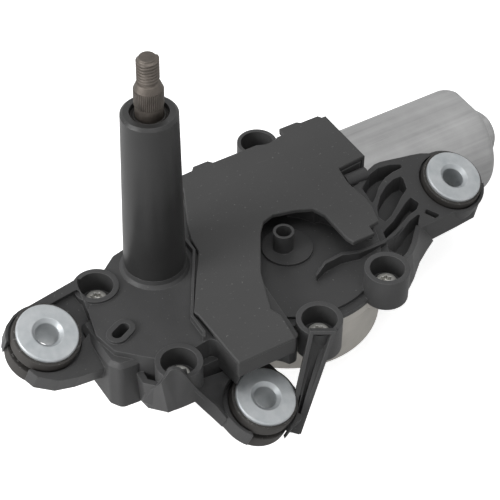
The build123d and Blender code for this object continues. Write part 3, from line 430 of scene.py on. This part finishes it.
def phosphatedSteel(look):
    material, tree, shader, place = startFinish(look)
    skin = useGroup(tree, grain, Vector=place, Fine=look["grain"], Broad=look["patches"])
    rim = useGroup(tree, softEdges, Radius=look["edgeRadius"], Gain=look["edgeGain"])
    color = blend(tree, skin.outputs["Shade"], look["dark"], look["light"])
    # painted highlight: edges are lightened towards the highlight colour
    color = blend(tree, scaled(tree, rim.outputs["Edge"], look["edgeHighlightAmount"]), color, look["highlightAndScuffColor"])
    parts = addNode(tree, "SeparateXYZ", {0: place})
    turn = addNode(tree, "Math", {0: parts.outputs["Y"], 1: parts.outputs["X"]}, operation="ARCTAN2")
    ridges = addNode(tree, "Math", {0: scaled(tree, turn.outputs[0], look["knurls"])}, operation="SINE")
    above = addNode(tree, "Math", {0: parts.outputs["Z"], 1: look["knurlBottom"]},
                    operation="GREATER_THAN")
    under = addNode(tree, "Math", {0: parts.outputs["Z"], 1: look["knurlTop"]}, operation="LESS_THAN")
    band = addNode(tree, "Math", {0: above.outputs[0], 1: under.outputs[0]}, operation="MULTIPLY")
    knurl = addNode(tree, "Math", {0: ridges.outputs[0], 1: band.outputs[0]}, operation="MULTIPLY")
    cut = addNode(tree, "Bump", {"Height": knurl.outputs[0], "Normal": rim.outputs["Normal"],
                                 "Distance": look["knurlDepth"]})
    bump = addNode(tree, "Bump", {"Height": skin.outputs["Height"], "Normal": cut.outputs[0],
                                  "Distance": look["depth"]})
    # painted shade: the grooves of the knurl, which is only a bump, are darkened
    knurlHollowShade = addNode(tree, "MapRange", {"Value": knurl.outputs[0], "From Min": -1.0, "From Max": 0.0,
                                         "To Min": 0.45, "To Max": 0.0})
    color = blend(tree, knurlHollowShade.outputs[0], color, look["dark"])
    rough = addNode(tree, "MapRange", {"Value": skin.outputs["Shade"],
                                       "To Min": look["roughness"] - 0.08,
                                       "To Max": look["roughness"] + 0.1})
    feed(tree, shader.inputs["Base Color"], color)
    feed(tree, shader.inputs["Roughness"], rough.outputs[0])
    feed(tree, shader.inputs["Normal"], bump.outputs[0])
    shader.inputs["Metallic"].default_value = look["metallic"]
    return material


spindleSteel = phosphatedSteel(spindleLook)

nodeFinishes = [
    (housingPlastic, ["upper_housing"]),
    (shadedTowerPlastic, ["tower"]),
    (coverPlastic, ["cover_plate"]),
    (castAlloy, ["gear_housing"]),
    (platedCan, ["motor_can"]),
    (brightZinc, ["left_mount_sleeve", "front_mount_sleeve", "right_mount_sleeve"]),
    (grommetRubber, ["left_mount_grommet", "front_mount_grommet", "right_mount_grommet"]),
    (sealRubber, ["shaft_seal"]),
    (spindleSteel, ["output_shaft"]),
    (zincScrew, ["housing_screws", "can_screws", "retaining_ring"]),
    (sinteredBronze, ["lower_bush", "upper_bush", "worm_bearing", "worm_end_bearing", "can_bearing",
                      "thrust_washer"]),
    (linkageSteel, ["output_pinion", "toothed_rod", "guide_link", "link_pin", "crank_pin", "wheel_axle",
                    "armature_shaft", "brush_springs"]),
    (wheelPolyamide, ["worm_wheel"]),
    (stackedCore, ["armature_core"]),
    (enamelledCopper, ["armature_windings", "commutator"]),
    (sinteredFerrite, ["magnets"]),
    (brushPhenolic, ["brush_holder"]),
    (pressedCarbon, ["carbon_brushes"]),
    (tinnedContacts, ["connector_terminals"]),
    (membraneCloth, ["vent_membrane"]),
]
for finish, names in nodeFinishes:
    for nodeName in names:
        mesh = cadNodes[nodeName].data
        if not mesh.materials:
            mesh.materials.append(finish)
        for index in range(len(mesh.materials)):
            mesh.materials[index] = finish
print("finishes on all CAD nodes")

# ---- pieces made here


def endPiece(edit, name, material, body, smoothAngle=30.0):
    bmesh.ops.remove_doubles(edit, verts=edit.verts, dist=0.000002)
    bmesh.ops.recalc_face_normals(edit, faces=edit.faces)
    mesh = bpy.data.meshes.new(name)
    edit.to_mesh(mesh)
    edit.free()
    for face in mesh.polygons:
        face.use_smooth = True
    mesh.set_sharp_from_angle(angle=math.radians(smoothAngle))
    mesh.materials.append(material)
    piece = bpy.data.objects.new(name, mesh)
    bpy.context.scene.collection.objects.link(piece)
    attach(piece, body)
    return piece


def spinProfile(edit, points, steps):
    # turns a closed half section, given as radius and height, round the Z axis
    verts = [edit.verts.new((radius, 0.0, height)) for radius, height in points]
    edges = [edit.edges.new(pair) for pair in zip(verts, verts[1:])]
    bmesh.ops.spin(edit, geom=verts + edges, cent=(0, 0, 0), axis=(0, 0, 1), angle=2 * math.pi,
                   steps=steps,
                   use_merge=True)


spindleShape = {
    "shaftRadius": 5.0 * mm, "bottom": -38.5 * mm, "coneFoot": 77.7 * mm, "coneRadius": 5.3 * mm,
    "coneTop": 83.7 * mm,
    "threadStart": 86.7 * mm, "threadTop": 96.3 * mm, "tip": 97.1 * mm, "crest": 4.0 * mm,
    "root": 3.38 * mm,
    "pitch": 1.25 * mm, "stepsPerTurn": 40,
}


def makeSpindle(shape):
    edit = bmesh.new()
    neck = shape["threadStart"]
    spinProfile(edit, [(0.0, shape["bottom"]), (shape["shaftRadius"] - 0.5 * mm, shape["bottom"]),
                       (shape["shaftRadius"], shape["bottom"] + 0.5 * mm),
                       (shape["shaftRadius"], shape["coneFoot"]),
                       (shape["coneRadius"], shape["coneFoot"]), (shape["coneRadius"], shape["coneTop"]),
                       (shape["crest"] + 0.1 * mm, neck - 0.1 * mm), (shape["root"], neck + 0.25 * mm),
                       (shape["root"], shape["threadTop"]), (shape["root"] - 0.4 * mm, shape["tip"]),
                       (0.0, shape["tip"])], 64)
    turns = int((shape["threadTop"] - neck - 0.4 * mm) / shape["pitch"])
    start = neck + 0.3 * mm
    p = shape["pitch"]
    tooth = [(shape["root"] - 0.3 * mm, start), (shape["root"] + 0.02 * mm, start + 0.12 * p),
             (shape["crest"], start + 0.43 * p), (shape["crest"], start + 0.55 * p),
             (shape["root"] + 0.02 * mm, start + 0.88 * p), (shape["root"] - 0.3 * mm, start + p)]
    verts = [edit.verts.new((radius, 0.0, height)) for radius, height in tooth]
    face = edit.faces.new(verts)
    steps = turns * shape["stepsPerTurn"]
    bmesh.ops.spin(edit, geom=[face] + list(face.edges) + verts, cent=(0, 0, 0), axis=(0, 0, 1),
                   angle=2 * math.pi * turns, steps=steps, dvec=(0, 0, p / shape["stepsPerTurn"]))
    return endPiece(edit, "threadedSpindle", spindleSteel, "output", 35.0)


spindle = makeSpindle(spindleShape)
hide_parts("output_shaft")
print("spindle made")

screwShape = {
    "headRadius": 3.9 * mm, "headHeight": 3.0 * mm, "rim": 0.25 * mm, "dome": 0.55 * mm,
    "socketRadius": 1.95 * mm, "socketRim": 0.45 * mm, "lobe": 0.34 * mm, "lobes": 6,
    "socketDepth": 1.7 * mm,
    "socketPoint": 0.35 * mm, "shankRadius": 2.0 * mm, "shankLength": 7.0 * mm, "segments": 48,
    "seat": -8.0, "turn": 0.3,
    "places": [(-24.0, 1.0, 0.0), (-16.5, -46.5, 0.0), (36.7, -54.5, 0.0), (72.0, -46.0, 0.0),
               (70.7, 43.0, -5.0)],
}


def addScrew(edit, shape, place):
    # domed head with a six-lobed socket, and its shank
    head = shape["headRadius"]
    foot = head - shape["rim"]
    made = bmesh.ops.create_circle(edit, cap_ends=True, radius=foot, segments=shape["segments"])
    verts = set(made["verts"])
    base = next(face for face in edit.faces if set(face.verts) == verts)
    everything = set(verts)

    def step(face, scale, lift):
        out = bmesh.ops.extrude_face_region(edit, geom=[face])
        fresh = [item for item in out["geom"] if isinstance(item, bmesh.types.BMVert)]
        top = next(item for item in out["geom"] if isinstance(item, bmesh.types.BMFace))
        bmesh.ops.scale(edit, vec=(scale, scale, 1.0), verts=fresh)
        bmesh.ops.translate(edit, vec=(0, 0, lift), verts=fresh)
        if face.is_valid:
            bmesh.ops.delete(edit, geom=[face], context="FACES_ONLY")
        everything.update(fresh)
        return top, fresh

    socket = shape["socketRadius"]
    mouth = socket + shape["socketRim"]
    top, _ = step(base, head / foot, shape["rim"])
    top, _ = step(top, 1.0, shape["headHeight"] - shape["dome"] - shape["rim"])
    radius = head
    for share, rise in ((0.93, 0.5), (0.86, 0.35)):  # two steps round the dome off
        top, _ = step(top, share, shape["dome"] * rise)
        radius *= share
    top, _ = step(top, mouth / radius, shape["dome"] * 0.15)
    top, ring = step(top, socket / mouth, 0.0)
    for vert in ring:
        turn = math.atan2(vert.co.y, vert.co.x)
        swell = 1.0 + shape["lobe"] / socket * math.cos(shape["lobes"] * turn)
        vert.co.x *= swell
        vert.co.y *= swell
    top, _ = step(top, 0.96, -shape["socketDepth"])
    step(top, 0.3, -shape["socketPoint"])

    long = shape["shankLength"]
    shank = bmesh.ops.create_cone(edit, cap_ends=True, cap_tris=False, segments=20,
                                  radius1=shape["shankRadius"] * 0.6, radius2=shape["shankRadius"],
                                  depth=long)["verts"]
    bmesh.ops.translate(edit, vec=(0, 0, -long / 2), verts=shank)
    floor = bmesh.ops.create_circle(edit, cap_ends=True, radius=foot,
                                    segments=shape["segments"])["verts"]
    everything.update(shank)
    everything.update(floor)
    bmesh.ops.transform(edit, matrix=place, verts=[vert for vert in everything if vert.is_valid])


edit = bmesh.new()
for x, y, drop in screwShape["places"]:
    seat = Matrix.Translation((x * mm, y * mm, (screwShape["seat"] + drop) * mm))
    addScrew(edit, screwShape, seat @ Matrix.Rotation(screwShape["turn"] + x, 4, "Z"))
deckScrews = endPiece(edit, "deckScrews", zincScrew, "casing", 40.0)
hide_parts("housing_screws")
print("deck screws made")

frontWebShape = {
    "crest": [(-28.2, -43.3, -11.0), (-27.1, -48.0, -5.5), (-26.9, -52.3, 1.5), (-25.4, -53.3, 5.0),
              (-23.8, -53.2, 6.5), (-22.3, -53.5, 7.0), (-20.8, -54.9, 6.5), (-19.1, -56.6, 4.0),
              (-15.0, -55.7, -5.0), (-11.6, -56.5, -11.0), (-9.1, -59.3, -14.5), (-7.4, -63.9, -18.0)],
    "foot": [(-29.8, -42.2, -16.0), (-28.9, -46.4, -15.0), (-28.0, -50.6, -13.5), (-27.0, -53.2, -12.5),
             (-26.2, -55.3, -11.5), (-23.1, -56.3, -11.0), (-19.6, -56.5, -11.0), (-15.2, -55.0, -13.0),
             (-13.0, -56.9, -16.5), (-11.1, -59.8, -19.0), (-9.2, -63.6, -21.5)],
    "shelf": [(-18.2, -55.1, 2.0), (-13.7, -52.7, -5.0), (-7.6, -49.1, -10.0), (-1.4, -47.7, -12.5),
              (4.9, -46.9, -14.5), (8.0, -46.0, -15.5), (3.0, -49.4, -15.3), (-0.3, -51.4, -15.7),
              (-2.8, -53.5, -16.5), (-4.4, -55.9, -17.5), (-5.4, -58.6, -18.5), (-7.4, -63.9, -18.0),
              (-9.1, -59.3, -14.5), (-11.6, -56.5, -11.0), (-15.0, -55.7, -5.0)],
    "wall": 1.8 * mm, "shelfDrop": 0.3 * mm, "shelfDepth": 2.2 * mm,
}


def makeFrontWeb(shape):
    # sloping wall from the front left boss to the front eye, with a shelf behind its crest
    edit = bmesh.new()
    edges = []
    for line in (shape["crest"], shape["foot"]):
        verts = [edit.verts.new(Vector(point) * mm) for point in line]
        edges += [edit.edges.new(pair) for pair in zip(verts, verts[1:])]
    wall = bmesh.ops.bridge_loops(edit, edges=edges)["faces"]
    bmesh.ops.recalc_face_normals(edit, faces=wall)
    bmesh.ops.solidify(edit, geom=wall, thickness=shape["wall"])
    shelf = edit.faces.new([edit.verts.new(Vector(point) * mm) for point in shape["shelf"]])
    bmesh.ops.translate(edit, vec=(0, 0, -shape["shelfDrop"]), verts=shelf.verts)
    tops = bmesh.ops.triangulate(edit, faces=[shelf])["faces"]
    lower = bmesh.ops.extrude_face_region(edit, geom=tops)["geom"]
    sunk = [item for item in lower if isinstance(item, bmesh.types.BMVert)]
    bmesh.ops.translate(edit, vec=(0, 0, -shape["shelfDepth"]), verts=sunk)
    return endPiece(edit, "frontWeb", housingPlastic, "casing", 40.0)


makeFrontWeb(frontWebShape)

strutShape = {
    "corners": [(28.3, -61.0, 5.0), (36.7, -65.5, 4.5), (21.2, -68.7, -39.0), (16.9, -65.9, -38.0)],
    "depth": (2.2, 3.6, -3.0), "rail": 1.5 * mm, "pocket": 3.2 * mm,
}


def makeStrut(shape):
    # two-railed strut from the front right boss down to the front eye
    edit = bmesh.new()
    face = edit.faces.new([edit.verts.new(Vector(point) * mm) for point in shape["corners"]])
    back = bmesh.ops.extrude_face_region(edit, geom=[face])["geom"]
    sunk = [item for item in back if isinstance(item, bmesh.types.BMVert)]
    bmesh.ops.translate(edit, vec=Vector(shape["depth"]) * mm, verts=sunk)
    bmesh.ops.recalc_face_normals(edit, faces=edit.faces)
    front = max(edit.faces, key=lambda item: item.normal.dot(-Vector(shape["depth"])))
    bmesh.ops.inset_region(edit, faces=[front], thickness=shape["rail"], depth=0.0, use_even_offset=True)
    bmesh.ops.inset_region(edit, faces=[front], thickness=0.05 * mm, depth=-shape["pocket"],
                           use_even_offset=True)
    return endPiece(edit, "strut", housingPlastic, "casing", 30.0)


makeStrut(strutShape)
print("front web and strut made")
